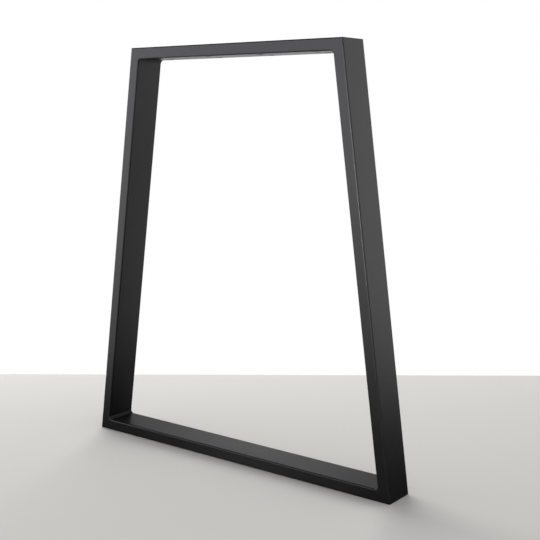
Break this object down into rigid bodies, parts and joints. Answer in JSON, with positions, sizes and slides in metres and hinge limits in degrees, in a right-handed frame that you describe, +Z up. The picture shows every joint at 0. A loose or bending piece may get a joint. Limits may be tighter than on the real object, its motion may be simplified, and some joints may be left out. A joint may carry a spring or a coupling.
{
  "type": "table leg",
  "caption": "Closed trapezoid table leg of mitred black steel tube with welded inner corners, screwed up under a table top and standing on its wide bottom rail.",
  "frame": {"origin": "on the floor, under the middle of the bottom rail", "axes": "+X along the frame's width, +Y along the tube's depth towards the back, +Z up to the table top"},
  "size_m": [0.6498, 0.06, 0.72],
  "materials": {
    "black_powder_coat": "matt black powder coat with a fine even texture"
  },
  "bodies": {
    "root": {"top_rail": "black_powder_coat", "bottom_rail": "black_powder_coat", "left_leg": "black_powder_coat", "right_leg": "black_powder_coat", "weld_top_left": "black_powder_coat", "weld_top_right": "black_powder_coat", "weld_bottom_left": "black_powder_coat", "weld_bottom_right": "black_powder_coat"}
  },
  "joints": []
}
